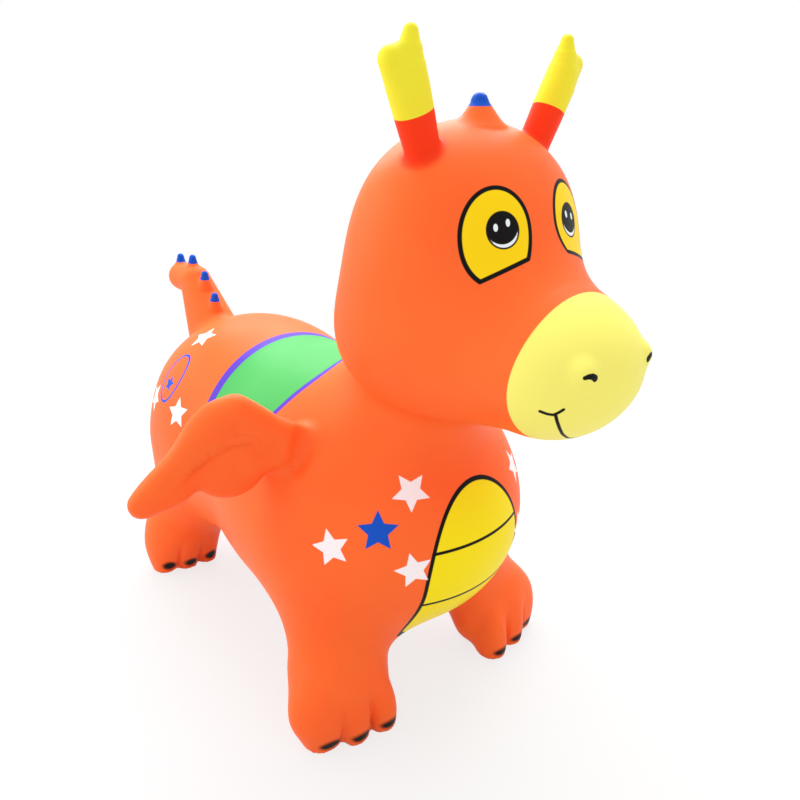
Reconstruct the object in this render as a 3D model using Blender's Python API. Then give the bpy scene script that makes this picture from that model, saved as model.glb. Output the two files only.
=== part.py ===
"""Inflatable ride-on dragon: a hollow soft-PVC skin, shown in its moulded zones, with an air valve under the belly.

X points forward to the nose, Y to the dragon's left and Z up. The soles stand on Z = 0. Sizes are in metres.
"""

import math

import bmesh
import bpy
import numpy as np
from mathutils import Matrix, Vector

# Skin
WALL = 0.0025
SEAM_GAP = 0.0005
SCULPT_VOXEL = 0.005
SKIN_TRIANGLES = 2800
LONGEST_EDGE = 0.030
HORN_LONGEST_EDGE = 0.012
SNAP_STEPS = 4
SEAM_REACH = 0.045
WING_SEAM_REACH = 0.044
LEG_SEAM_REACH = 0.065
NECK_SEAM_REACH = 0.12

# The head reaches further than the tail: this shift brings the middle of the whole length over the origin
STAND_SHIFT = -0.0115

# Trunk: two round ends and a barrel between them
RUMP_CENTRE = (-0.121, 0.0, 0.1665)
RUMP_RADII = (0.0945, 0.095, 0.088)
CHEST_CENTRE = (0.0625, 0.0, 0.1415)
CHEST_RADII = (0.126, 0.112, 0.094)
BARREL_BACK = (-0.073, 0.0, 0.143)
BARREL_FRONT = (0.068, 0.0, 0.1655)
BARREL_RADIUS = 0.0985
TRUNK_FILLET = 0.05

# Legs, given for the left side
FORE_LEG = {
    "hip": (0.090, 0.045, 0.134),
    "hip_radius": 0.042,
    "ankle": (0.1125, 0.082, 0.0465),
    "ankle_radius": 0.032,
    "foot": (0.131, 0.0865),
    "foot_radii": (0.034, 0.043, 0.0315),
    "seam": (0.1085, 0.0755, 0.062),
}
HIND_LEG = {
    "hip": (-0.139, 0.040, 0.124),
    "hip_radius": 0.047,
    "ankle": (-0.158, 0.0695, 0.0525),
    "ankle_radius": 0.0345,
    "foot": (-0.162, 0.0765),
    "foot_radii": (0.0345, 0.035, 0.0305),
    "seam": (-0.1545, 0.064, 0.066),
}
LEG_FILLET = 0.04
ANKLE_FILLET = 0.025
SOLE_SINK = 0.006
FOOT_HEIGHT = 0.020
TOE_ANGLES = (-43, 11, 62)
TOE_SIZE = 0.38
TOE_SPREAD = 0.76
TOE_FILLET = 0.008

# Head and neck
SKULL_CENTRE = (0.1655, 0.0, 0.3735)
SKULL_RADII = (0.0625, 0.078, 0.0675)
CHEEK_CENTRE = (0.158, 0.0, 0.309)
CHEEK_RADII = (0.074, 0.0825, 0.0585)
MUZZLE_CENTRE = (0.2415, 0.0, 0.306)
MUZZLE_RADII = (0.048, 0.0545, 0.0357)
BRIDGE_START = (0.190, 0.0, 0.315)
BRIDGE_RADII = (0.0505, 0.042)
FACE_FILLET = 0.05
SNOUT_FILLET = 0.03
MUZZLE_SEAM = (0.2565, 0.0, 0.324)
MUZZLE_SEAM_NORMAL = (0.997, 0.0, -0.077)
NECK_FOOT = (0.085, 0.0, 0.180)
NECK_TOP = (0.135, 0.0, 0.280)
NECK_RADII = (0.062, 0.052)
NECK_FILLET = 0.02
JAW_FILLET = 0.012
NECK_SEAM = (0.135, 0.0, 0.250)
NECK_SEAM_NORMAL = (0.36, 0.0, 0.933)
NECK_RING_HEIGHT = 0.010

# Horns, given for the left side, with joints as (x, y, z, radius), and the crest between them
HORN_BASE = (0.1785, 0.0475, 0.420)
HORN_FORK = (0.181, 0.0655, 0.464)
HORN_INNER = (
    (0.1760, 0.0436, 0.4200, 0.0085),
    (0.1823, 0.0635, 0.4635, 0.0105),
    (0.1847, 0.0642, 0.4844, 0.0050),
)
HORN_OUTER = ((0.1761, 0.0480, 0.4200, 0.0081), (0.1811, 0.0746, 0.4715, 0.0072))
HORN_LOBE_FILLET = 0.006
HORN_FILLET = 0.004
HORN_ROOT_START = 0.0135
HORN_COLOUR_EDGE = 0.0274
CREST = {"tip": (0.1737, 0.0, 0.4557), "root": (0.1745, 0.0, 0.440), "root_radius": 0.0125}

# Wings, given for the left side: joints are (outward, up, through, radius) from the root
WING_ROOT = (0.090, 0.083, 0.226)
WING_OUTWARD = (-0.324, 0.946, 0.0)
WING_RIM = (
    (-0.010, -0.004, 0.0, 0.0130),
    (0.0215, 0.0115, 0.0, 0.0110),
    (0.0440, 0.0295, 0.0, 0.0100),
    (0.0560, 0.0245, 0.0, 0.0100),
    (0.0760, 0.0070, 0.0, 0.0092),
    (0.0985, -0.0140, 0.0, 0.0085),
    (0.1130, -0.0295, 0.0, 0.0083),
)
WING_STEM = ((-0.010, -0.007, 0.0, 0.0110), (0.034, -0.009, 0.0, 0.0085))
WING_WEB_CENTRE = (0.052, 0.000, -0.002)
WING_WEB_RADII = (0.031, 0.0365, 0.0095)
WING_LOBE_CENTRE = (0.093, -0.023, -0.001)
WING_LOBE_RADII = (0.023, 0.0125, 0.0080)
WING_LOBE_TILT = -25
WING_RIM_FILLET = 0.006
WING_WEB_FILLET = 0.010
WING_FILLET = 0.008
WING_SEAM = (0.0255, 0.002)
WING_SEAM_SLOPE = (0.951, 0.309)
WING_ROOT_HEIGHT = 0.010

# Tail and its row of spikes: each spike is (tip x, tip z, root x, root z)
TAIL_ROOT = (-0.1847, 0.0, 0.2103)
TAIL_BEND = (-0.2265, 0.0, 0.2735)
TAIL_TIP = (-0.2560, 0.0, 0.2735)
TAIL_RADII = (0.0294, 0.0158, 0.0145)
TAIL_FILLET = 0.03
TAIL_BEND_FILLET = 0.006
TAIL_SEAM = (-0.199, 0.0, 0.2285)
TAIL_RING_HEIGHT = 0.008
TAIL_SPIKES = (
    (-0.2568, 0.2972, -0.2580, 0.2860),
    (-0.2286, 0.3000, -0.2305, 0.2880),
    (-0.2032, 0.2853, -0.2140, 0.2781),
    (-0.1855, 0.2661, -0.1963, 0.2589),
)
SPIKE_RADIUS = 0.0065
SPIKE_TIP_RADIUS = 0.0022
SPIKE_SHOULDER = 0.8
SPIKE_SIDES = 12

# Air valve in the belly
VALVE_X = -0.030
VALVE_HOLE_RADIUS = 0.0090
VALVE_SEAT_RADIUS = 0.0086
VALVE_COLLAR_RADIUS = 0.0120
VALVE_BORE_RADIUS = 0.0050
VALVE_SEAT_LENGTH = 0.014
VALVE_COLLAR_OFFSET = 0.0050
PLUG_STEM_RADIUS = 0.0047
PLUG_STEM_LENGTH = 0.012
PLUG_HEAD_RADIUS = 0.0080
PLUG_HEAD_HEIGHT = 0.0025
VALVE_SIDES = 24

# Colours, linear RGB
ORANGE = (0.93, 0.13, 0.03)
MUZZLE_YELLOW = (0.88, 0.80, 0.24)
HORN_YELLOW = (0.84, 0.74, 0.04)
HORN_RED = (0.90, 0.06, 0.012)
SPIKE_BLUE = (0.008, 0.18, 0.80)
VALVE_WHITE = (0.85, 0.84, 0.80)
PVC_ROUGHNESS = 0.48


def ellipsoid(p, centre, radii, turn=None):
    """Near-distance from points p to an ellipsoid; the rows of turn are its own axes."""
    q = p - np.asarray(centre)
    if turn is not None:
        q = q @ turn.T
    radii = np.asarray(radii)
    near = np.linalg.norm(q / radii, axis=-1)
    slope = np.maximum(np.linalg.norm(q / radii**2, axis=-1), 1e-9)
    return near * (near - 1.0) / slope


def limb(p, start, end, start_radius, end_radius):
    """Near-distance from points p to a straight limb with round ends and a tapering radius."""
    start = np.asarray(start, float)
    run = np.asarray(end, float) - start
    t = np.clip(((p - start) @ run) / (run @ run), 0.0, 1.0)
    spine = start + t[..., None] * run
    return np.linalg.norm(p - spine, axis=-1) - (start_radius + t * (end_radius - start_radius))


def join(a, b, fillet):
    """Union of two distance fields with a rounded inner corner."""
    reach = np.maximum(fillet - np.abs(a - b), 0.0) / fillet
    return np.minimum(a, b) - reach * reach * fillet / 4.0


def chain(p, joints):
    """Near-distance from points p to a row of limbs; each joint is a place and a radius."""
    row = []
    for (*start, start_radius), (*end, end_radius) in zip(joints[:-1], joints[1:]):
        row.append(limb(p, start, end, start_radius, end_radius))
    return np.min(row, axis=0)


def folded(p):
    """Points mirrored to the dragon's left side."""
    q = p.copy()
    q[..., 1] = np.abs(q[..., 1])
    return q


def trunk_field(p):
    barrel = limb(p, BARREL_BACK, BARREL_FRONT, BARREL_RADIUS, BARREL_RADIUS)
    rump = ellipsoid(p, RUMP_CENTRE, RUMP_RADII)
    chest = ellipsoid(p, CHEST_CENTRE, CHEST_RADII)
    return join(join(rump, barrel, TRUNK_FILLET), chest, TRUNK_FILLET)


def foot_centre(leg):
    x, y = leg["foot"]
    return (x, y, leg["foot_radii"][2] - SOLE_SINK)


def toe_blobs(leg):
    """Centre and radii of each of the foot's toes."""
    x, y, _ = foot_centre(leg)
    length, width, _ = leg["foot_radii"]
    size = TOE_SIZE * length
    for angle in map(math.radians, TOE_ANGLES):
        across = TOE_SPREAD * np.array([length * math.cos(angle), width * math.sin(angle)])
        yield (x + across[0], y + across[1], 0.9 * size), (size, 0.95 * size, 1.4 * size)


def leg_field(p, leg):
    column = limb(p, leg["hip"], leg["ankle"], leg["hip_radius"], leg["ankle_radius"])
    foot = ellipsoid(p, foot_centre(leg), leg["foot_radii"])
    for centre, radii in toe_blobs(leg):
        foot = join(foot, ellipsoid(p, centre, radii), TOE_FILLET)
    return join(column, foot, ANKLE_FILLET)


def head_field(p):
    face = join(
        ellipsoid(p, SKULL_CENTRE, SKULL_RADII), ellipsoid(p, CHEEK_CENTRE, CHEEK_RADII), FACE_FILLET
    )
    bridge = limb(p, BRIDGE_START, MUZZLE_CENTRE, *BRIDGE_RADII)
    snout = join(ellipsoid(p, MUZZLE_CENTRE, MUZZLE_RADII), bridge, SNOUT_FILLET)
    return join(face, snout, SNOUT_FILLET)


def horn_field(p):
    return join(chain(p, HORN_INNER), chain(p, HORN_OUTER), HORN_LOBE_FILLET)


def tail_field(p):
    rise = limb(p, TAIL_ROOT, TAIL_BEND, *TAIL_RADII[:2])
    knob = limb(p, TAIL_BEND, TAIL_TIP, *TAIL_RADII[1:])
    return join(rise, knob, TAIL_BEND_FILLET)


def wing_axes():
    """The wing's own axes as rows: outward, up and forward through its thickness."""
    outward = Vector(WING_OUTWARD).normalized()
    up = Vector((0.0, 0.0, 1.0))
    return np.array([outward, up, outward.cross(up)])


def wing_point(outward, up, through=0.0):
    """A point of the left wing in the dragon's frame."""
    return Vector(np.asarray(WING_ROOT) + np.array([outward, up, through]) @ wing_axes())


def wing_field(p):
    w = (p - np.asarray(WING_ROOT)) @ wing_axes().T
    rim = join(chain(w, WING_RIM), chain(w, WING_STEM), WING_RIM_FILLET)
    turn = np.array(Matrix.Rotation(math.radians(WING_LOBE_TILT), 3, "Z")).T
    web = ellipsoid(w, WING_WEB_CENTRE, WING_WEB_RADII)
    lobe = ellipsoid(w, WING_LOBE_CENTRE, WING_LOBE_RADII, turn)
    return join(rim, join(web, lobe, WING_RIM_FILLET), WING_WEB_FILLET)


def skin_field(p):
    """Near-distance from points p to the whole outer skin; negative is inside."""
    q = folded(p)
    skin = trunk_field(p)
    skin = join(skin, leg_field(q, FORE_LEG), LEG_FILLET)
    skin = join(skin, leg_field(q, HIND_LEG), LEG_FILLET)
    skin = join(skin, limb(p, NECK_FOOT, NECK_TOP, *NECK_RADII), NECK_FILLET)
    skin = join(skin, head_field(p), JAW_FILLET)
    skin = join(skin, horn_field(q), HORN_FILLET)
    skin = join(skin, tail_field(p), TAIL_FILLET)
    return join(skin, wing_field(q), WING_FILLET)


def skin_normals(points):
    """Outward unit normals of the skin at the given points."""
    step = 0.0004
    slope = [skin_field(points + step * axis) - skin_field(points - step * axis) for axis in np.eye(3)]
    slope = np.stack(slope, axis=-1)
    return slope / np.linalg.norm(slope, axis=-1, keepdims=True)


def mirrored(point):
    return (point[0], -point[1], point[2])


def unit_ball():
    """Points and triangles of a ball of radius 1."""
    bm = bmesh.new()
    bmesh.ops.create_icosphere(bm, subdivisions=3, radius=1.0)
    points = np.array([vertex.co for vertex in bm.verts])
    triangles = np.array([[vertex.index for vertex in face.verts] for face in bm.faces])
    bm.free()
    return points, triangles


def limb_balls(start, end, start_radius, end_radius):
    """A limb as a row of overlapping balls, close enough to read as one form."""
    start, end = Vector(start), Vector(end)
    count = max(3, math.ceil((end - start).length / (0.3 * min(start_radius, end_radius))))
    for i in range(count + 1):
        t = i / count
        yield start.lerp(end, t), [start_radius + t * (end_radius - start_radius)] * 3


def chain_balls(joints):
    for (*start, start_radius), (*end, end_radius) in zip(joints[:-1], joints[1:]):
        yield from limb_balls(start, end, start_radius, end_radius)


def wing_oval_balls(centre, radii, tilt):
    """A flat oval form of the wing as rows of balls."""
    length, height, depth = radii
    along_oval = np.array([math.cos(tilt), math.sin(tilt), 0.0])
    across = np.array([-math.sin(tilt), math.cos(tilt), 0.0])
    for t in np.linspace(-0.85, 0.85, 9):
        half = math.sqrt(1.0 - t * t)
        middle = np.asarray(centre) + t * height * across
        ends = (wing_point(*(middle + side * (length - depth) * half * along_oval)) for side in (-1, 1))
        yield from limb_balls(*ends, depth * half, depth * half)


def paired_balls():
    """Centre and radii of the balls on the left side that the right side repeats."""
    for leg in (FORE_LEG, HIND_LEG):
        yield from limb_balls(leg["hip"], leg["ankle"], leg["hip_radius"], leg["ankle_radius"])
        yield foot_centre(leg), leg["foot_radii"]
        yield from toe_blobs(leg)
    yield from chain_balls(HORN_INNER)
    yield from chain_balls(HORN_OUTER)
    for joints in (WING_RIM, WING_STEM):
        yield from chain_balls([(*wing_point(*place), radius) for *place, radius in joints])
    yield from wing_oval_balls(WING_WEB_CENTRE, WING_WEB_RADII, 0.0)
    yield from wing_oval_balls(WING_LOBE_CENTRE, WING_LOBE_RADII, math.radians(WING_LOBE_TILT))


def middle_balls():
    """Centre and radii of the balls on the dragon's middle plane."""
    yield RUMP_CENTRE, RUMP_RADII
    yield CHEST_CENTRE, CHEST_RADII
    yield from limb_balls(BARREL_BACK, BARREL_FRONT, BARREL_RADIUS, BARREL_RADIUS)
    yield from limb_balls(NECK_FOOT, NECK_TOP, *NECK_RADII)
    yield SKULL_CENTRE, SKULL_RADII
    yield CHEEK_CENTRE, CHEEK_RADII
    yield MUZZLE_CENTRE, MUZZLE_RADII
    yield from limb_balls(BRIDGE_START, MUZZLE_CENTRE, *BRIDGE_RADII)
    yield from limb_balls(TAIL_ROOT, TAIL_BEND, *TAIL_RADII[:2])
    yield from limb_balls(TAIL_BEND, TAIL_TIP, *TAIL_RADII[1:])


def rough_forms():
    """The dragon's forms as overlapping balls in one mesh."""
    points, triangles = unit_ball()
    balls = list(middle_balls())
    for centre, radii in paired_balls():
        balls += [(centre, radii), (mirrored(centre), radii)]
    cloud = np.concatenate([points * np.array(radii) + np.array(centre) for centre, radii in balls])
    faces = np.concatenate([triangles + i * len(points) for i in range(len(balls))])
    mesh = bpy.data.meshes.new("forms")
    mesh.from_pydata(cloud.tolist(), [], faces.tolist())
    bm = bmesh.new()
    bm.from_mesh(mesh)
    bpy.data.meshes.remove(mesh)
    return bm


def evaluated(bm, *modifiers):
    """A new mesh from bm with the given (type, settings) modifiers applied in turn."""
    mesh = bpy.data.meshes.new("sculpt")
    bm.to_mesh(mesh)
    bm.free()
    obj = bpy.data.objects.new("sculpt", mesh)
    bpy.context.scene.collection.objects.link(obj)
    for kind, settings in modifiers:
        modifier = obj.modifiers.new(kind.title(), kind)
        for name, value in settings.items():
            setattr(modifier, name, value)
    shaped = bmesh.new()
    shaped.from_object(obj, bpy.context.evaluated_depsgraph_get())
    bpy.data.objects.remove(obj)
    return shaped


def snap_to_skin(verts, height=0.0):
    """Moves each vertex along the field's slope to a height over the skin."""
    points = np.array([vertex.co for vertex in verts])
    for _ in range(SNAP_STEPS):
        points = points - 0.8 * (skin_field(points) - height)[:, None] * skin_normals(points)
    for vertex, point in zip(verts, points):
        vertex.co = point


def split_long_edges(bm):
    """Halves long edges, so that round forms stay round, down to the lobes of the horns."""
    for _ in range(2):
        middles = np.array([0.5 * (edge.verts[0].co + edge.verts[1].co) for edge in bm.edges])
        on_horn = horn_field(folded(middles)) < HORN_FILLET
        longest = np.where(on_horn, HORN_LONGEST_EDGE, LONGEST_EDGE)
        long_edges = [edge for edge, limit in zip(bm.edges, longest) if edge.calc_length() > limit]
        bmesh.ops.subdivide_edges(bm, edges=long_edges, cuts=1)
        bmesh.ops.triangulate(bm, faces=bm.faces)


def sculpted_skin():
    """The closed outer skin: rough forms made into one surface, drawn onto the true shape and flat-soled."""
    remesh = ("REMESH", {"mode": "VOXEL", "voxel_size": SCULPT_VOXEL, "use_smooth_shade": True})
    bm = evaluated(rough_forms(), remesh)
    snap_to_skin(list(bm.verts))
    bmesh.ops.triangulate(bm, faces=bm.faces)
    ratio = SKIN_TRIANGLES / len(bm.faces)
    bm = evaluated(bm, ("DECIMATE", {"ratio": ratio}))
    split_long_edges(bm)
    snap_to_skin(list(bm.verts))
    parts = bm.verts[:] + bm.edges[:] + bm.faces[:]
    cut = bmesh.ops.bisect_plane(bm, geom=parts, plane_co=(0, 0, 0), plane_no=(0, 0, -1), clear_outer=True)
    rims = [item for item in cut["geom_cut"] if isinstance(item, bmesh.types.BMEdge)]
    bmesh.ops.edgeloop_fill(bm, edges=rims)
    return bm


def side_of(face, point, normal):
    return (face.calc_center_median() - point).dot(normal)


def take_zone(bm, point, normal, seed, reach=SEAM_REACH):
    """Cuts the skin along a plane near point and takes out the zone beyond it that holds seed."""
    point, normal, seed = Vector(point), Vector(normal).normalized(), Vector(seed)
    for offset in (-0.5 * SEAM_GAP, 0.5 * SEAM_GAP):
        near = [face for face in bm.faces if (face.calc_center_median() - point).length < reach]
        parts = dict.fromkeys(near)
        for face in near:
            parts.update(dict.fromkeys([*face.edges, *face.verts]))
        plane = point + offset * normal
        bmesh.ops.bisect_plane(bm, geom=list(parts), plane_co=plane, plane_no=normal, dist=1e-7)
    strip = [
        face
        for face in bm.faces
        if abs(side_of(face, point, normal)) < 0.5 * SEAM_GAP
        and (face.calc_center_median() - point).length < reach
    ]
    bmesh.ops.delete(bm, geom=strip, context="FACES")
    first = min(bm.faces, key=lambda face: (face.calc_center_median() - seed).length)
    zone = {first: None}
    queue = [first]
    while queue:
        for edge in queue.pop().edges:
            fresh = [face for face in edge.link_faces if face not in zone]
            zone.update(dict.fromkeys(fresh))
            queue.extend(fresh)
    taken = bmesh.new()
    twin = {}
    for face in zone:
        for vertex in face.verts:
            if vertex not in twin:
                twin[vertex] = taken.verts.new(vertex.co)
    for face in zone:
        taken.faces.new([twin[vertex] for vertex in face.verts])
    bmesh.ops.delete(bm, geom=list(zone), context="FACES")
    return taken


def thicken(bm):
    """Turns an open zone into a shell: an inner wall one WALL deeper, joined to the outer one at each seam."""
    outer = list(bm.verts)
    depth = WALL * skin_normals(np.array([vertex.co for vertex in outer]))
    inner = {vertex: bm.verts.new(vertex.co - Vector(d)) for vertex, d in zip(outer, depth)}
    rims = [edge for edge in bm.edges if edge.is_boundary]
    for face in list(bm.faces):
        bm.faces.new([inner[vertex] for vertex in reversed(face.verts)])
    for edge in rims:
        loop = edge.link_loops[0]
        a, b = loop.vert, loop.link_loop_next.vert
        bm.faces.new([b, a, inner[a], inner[b]])
    return bm


def spike(root, tip, radius):
    """A solid blunt cone whose foot follows the skin that it stands on."""
    root, tip = Vector(root), Vector(tip)
    turn = (tip - root).to_track_quat("Z", "Y")
    bm = bmesh.new()
    upper, lower = [], []
    for i in range(SPIKE_SIDES):
        angle = 2 * math.pi * i / SPIKE_SIDES
        spoke = turn @ Vector((math.cos(angle), math.sin(angle), 0.0))
        upper.append(bm.verts.new(root.lerp(tip, SPIKE_SHOULDER) + SPIKE_TIP_RADIUS * spoke))
        lower.append(bm.verts.new(root + radius * spoke))
    top, foot = bm.verts.new(tip), bm.verts.new(root)
    for i in range(SPIKE_SIDES):
        j = (i + 1) % SPIKE_SIDES
        bm.faces.new([top, upper[i], upper[j]])
        bm.faces.new([upper[i], lower[i], lower[j], upper[j]])
        bm.faces.new([foot, lower[j], lower[i]])
    snap_to_skin([*lower, foot], SEAM_GAP)
    return bm


def pvc(name, colour):
    material = bpy.data.materials.new(name)
    material.use_nodes = True
    shader = material.node_tree.nodes["Principled BSDF"]
    shader.inputs["Base Color"].default_value = (*colour, 1.0)
    shader.inputs["Roughness"].default_value = PVC_ROUGHNESS
    shader.inputs["Metallic"].default_value = 0.0
    return material


def pivot(name, place, parent=None):
    """An empty on a joint's axis that carries the pieces that move there."""
    empty = bpy.data.objects.new(name, None)
    bpy.context.scene.collection.objects.link(empty)
    empty.location = place
    attach(empty, parent)
    return empty


def attach(obj, parent):
    """Hangs obj under parent and keeps it where it is."""
    if parent is not None:
        bpy.context.view_layer.update()
        obj.parent = parent
        obj.matrix_parent_inverse = parent.matrix_world.inverted()


def piece(name, bm, colour, parent):
    """A named object from bm, with its own material."""
    bmesh.ops.triangulate(bm, faces=bm.faces)
    mesh = bpy.data.meshes.new(name)
    bm.to_mesh(mesh)
    bm.free()
    mesh.shade_smooth()
    mesh.set_sharp_from_angle(angle=math.radians(40))
    mesh.materials.append(pvc(name, colour))
    obj = bpy.data.objects.new(name, mesh)
    bpy.context.scene.collection.objects.link(obj)
    attach(obj, parent)
    return obj


def turned(profile):
    """A solid of revolution about Z from (radius, height) points that run down its outer side."""
    bm = bmesh.new()
    rings = []
    for radius, height in profile:
        angles = [2 * math.pi * i / VALVE_SIDES for i in range(VALVE_SIDES)]
        rings.append([bm.verts.new((radius * math.cos(a), radius * math.sin(a), height)) for a in angles])
    return bm, rings


def wall_between(bm, upper, lower):
    for i in range(VALVE_SIDES):
        j = (i + 1) % VALVE_SIDES
        bm.faces.new([upper[i], lower[i], lower[j], upper[j]])


def valve_place():
    """The point of the belly's skin that the valve sits in."""
    low, high = 0.0, BARREL_BACK[2]
    for _ in range(40):
        middle = 0.5 * (low + high)
        outside = skin_field(np.array([[VALVE_X, 0.0, middle]]))[0] > 0
        low, high = (middle, high) if outside else (low, middle)
    return Vector((VALVE_X, 0.0, low))


def valve_seat():
    """A bush with a collar inside the skin."""
    collar, top = VALVE_COLLAR_OFFSET, VALVE_SEAT_LENGTH
    bm, rings = turned(
        [
            (VALVE_BORE_RADIUS, top),
            (VALVE_COLLAR_RADIUS, top),
            (VALVE_COLLAR_RADIUS, collar),
            (VALVE_SEAT_RADIUS, collar),
            (VALVE_SEAT_RADIUS, 0.0),
            (VALVE_BORE_RADIUS, 0.0),
        ]
    )
    for upper, lower in zip(rings, rings[1:] + rings[:1]):
        wall_between(bm, upper, lower)
    return bm


def valve_plug():
    """A push-in plug: a round head under the belly and a stem in the seat's bore."""
    head_top = -SEAM_GAP
    bm, rings = turned(
        [
            (PLUG_STEM_RADIUS, PLUG_STEM_LENGTH),
            (PLUG_STEM_RADIUS, head_top),
            (PLUG_HEAD_RADIUS, head_top),
            (PLUG_HEAD_RADIUS, head_top - PLUG_HEAD_HEIGHT),
        ]
    )
    for upper, lower in zip(rings, rings[1:]):
        wall_between(bm, upper, lower)
    bm.faces.new(rings[0])
    bm.faces.new(reversed(rings[-1]))
    return bm


def drill_valve_hole(shell, place):
    """Opens the belly for the valve with a round cutter."""
    bm = bmesh.new()
    bmesh.ops.create_cone(
        bm, cap_ends=True, segments=VALVE_SIDES, radius1=VALVE_HOLE_RADIUS, radius2=VALVE_HOLE_RADIUS, depth=0.03
    )
    mesh = bpy.data.meshes.new("valve_cutter")
    bm.to_mesh(mesh)
    bm.free()
    cutter = bpy.data.objects.new("valve_cutter", mesh)
    bpy.context.scene.collection.objects.link(cutter)
    cutter.location = place
    attach(cutter, shell)
    cutter.hide_render = True
    cutter.display_type = "WIRE"
    hole = shell.modifiers.new("Valve hole", "BOOLEAN")
    hole.operation = "DIFFERENCE"
    hole.object = cutter


def sided(point, side):
    return point if side == "left" else mirrored(point)


def along(start, end, distance):
    """The point at a distance from start towards end, and the unit direction."""
    start, end = Vector(start), Vector(end)
    direction = (end - start).normalized()
    return start + distance * direction, direction


def make_head(skin, torso):
    """Head, muzzle, crest spike and both horns, above a ring of neck that flexes."""
    normal = Vector(NECK_SEAM_NORMAL).normalized()
    seam = Vector(NECK_SEAM)
    ring_top = seam + 0.5 * NECK_RING_HEIGHT * normal
    ring_bottom = seam - 0.5 * NECK_RING_HEIGHT * normal
    head = pivot("head_pivot", seam, torso)
    piece("crest_spike", spike(CREST["root"], CREST["tip"], CREST["root_radius"]), SPIKE_BLUE, head)
    for side in ("left", "right"):
        base, fork, tip = (sided(point, side) for point in (HORN_BASE, HORN_FORK, HORN_INNER[-1][:3]))
        root_start, axis = along(base, fork, HORN_ROOT_START)
        colour_edge, _ = along(base, fork, HORN_COLOUR_EDGE)
        horn = pivot(f"horn_{side}_pivot", 0.5 * (root_start + colour_edge), head)
        piece(f"horn_{side}_tip", thicken(take_zone(skin, colour_edge, axis, tip)), HORN_YELLOW, horn)
        root = take_zone(skin, root_start, axis, colour_edge)
        piece(f"horn_{side}_root", thicken(root), HORN_RED, head)
    nose = Vector(MUZZLE_CENTRE) + Vector((MUZZLE_RADII[0], 0, 0))
    muzzle = take_zone(skin, MUZZLE_SEAM, MUZZLE_SEAM_NORMAL, nose, NECK_SEAM_REACH)
    piece("muzzle", thicken(muzzle), MUZZLE_YELLOW, head)
    shell = take_zone(skin, ring_top, normal, SKULL_CENTRE, NECK_SEAM_REACH)
    piece("head_shell", thicken(shell), ORANGE, head)
    ring = take_zone(skin, ring_bottom, normal, ring_top, NECK_SEAM_REACH)
    piece("neck_ring", thicken(ring), ORANGE, torso)


def make_wings(skin, torso):
    """Both wings, each beyond a short root that flexes."""
    outward, up, _ = (Vector(axis) for axis in wing_axes())
    slope = WING_SEAM_SLOPE[0] * outward + WING_SEAM_SLOPE[1] * up
    seam = wing_point(*WING_SEAM)
    tip = wing_point(*WING_RIM[-1][:3])
    for side in ("left", "right"):
        axis = Vector(sided(slope, side))
        root_start = Vector(sided(seam, side))
        root_end = root_start + WING_ROOT_HEIGHT * axis
        hinge = pivot(f"wing_{side}_pivot", root_start + 0.5 * WING_ROOT_HEIGHT * axis, torso)
        wing = take_zone(skin, root_end, axis, sided(tip, side), WING_SEAM_REACH)
        piece(f"wing_{side}", thicken(wing), ORANGE, hinge)
        root = take_zone(skin, root_start, axis, root_end, WING_SEAM_REACH)
        piece(f"wing_{side}_root", thicken(root), ORANGE, torso)


def make_tail(skin, torso):
    """The tail with its spikes, beyond a ring that flexes."""
    _, axis = along(TAIL_ROOT, TAIL_BEND, 0.0)
    seam = Vector(TAIL_SEAM)
    hinge = pivot("tail_pivot", seam + 0.5 * TAIL_RING_HEIGHT * axis, torso)
    for number, (tip_x, tip_z, root_x, root_z) in enumerate(TAIL_SPIKES, start=1):
        cone = spike((root_x, 0.0, root_z), (tip_x, 0.0, tip_z), SPIKE_RADIUS)
        piece(f"tail_spike_{number}", cone, SPIKE_BLUE, hinge)
    tail = take_zone(skin, seam + TAIL_RING_HEIGHT * axis, axis, TAIL_TIP)
    piece("tail", thicken(tail), ORANGE, hinge)
    ring = take_zone(skin, seam, axis, seam + TAIL_RING_HEIGHT * axis)
    piece("tail_ring", thicken(ring), ORANGE, torso)


def make_legs(skin, stand):
    """Four flat-soled feet, and the legs above them that squash when the dragon bounces."""
    for place, leg in (("fore", FORE_LEG), ("hind", HIND_LEG)):
        for side in ("left", "right"):
            x, y, _ = sided(foot_centre(leg), side)
            sole, ankle = Vector((x, y, 0.0)), Vector((x, y, FOOT_HEIGHT))
            foot = take_zone(skin, ankle, (0, 0, -1), sole, LEG_SEAM_REACH)
            piece(f"{place}_{side}_foot", thicken(foot), ORANGE, stand)
            _, axis = along(sided(leg["hip"], side), sided(leg["ankle"], side), 0.0)
            upper = take_zone(skin, sided(leg["seam"], side), axis, ankle, LEG_SEAM_REACH)
            piece(f"{place}_{side}_leg", thicken(upper), ORANGE, stand)


def make_valve(shell, torso):
    """The valve seat in the belly and its plug."""
    place = valve_place()
    drill_valve_hole(shell, place)
    plug_axis = pivot("plug_pivot", place, torso)
    for name, bm, parent in (("valve_seat", valve_seat(), torso), ("valve_plug", valve_plug(), plug_axis)):
        bmesh.ops.translate(bm, verts=bm.verts, vec=place)
        piece(name, bm, VALVE_WHITE, parent)


def main():
    for obj in list(bpy.data.objects):
        bpy.data.objects.remove(obj)
    skin = sculpted_skin()
    stand = pivot("stand", (0, 0, 0))
    torso = pivot("bounce_axis", (0, 0, 0), stand)
    make_head(skin, torso)
    make_wings(skin, torso)
    make_tail(skin, torso)
    make_legs(skin, stand)
    shell = piece("body_shell", thicken(skin), ORANGE, torso)
    make_valve(shell, torso)
    stand.location.x = STAND_SHIFT


main()
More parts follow.
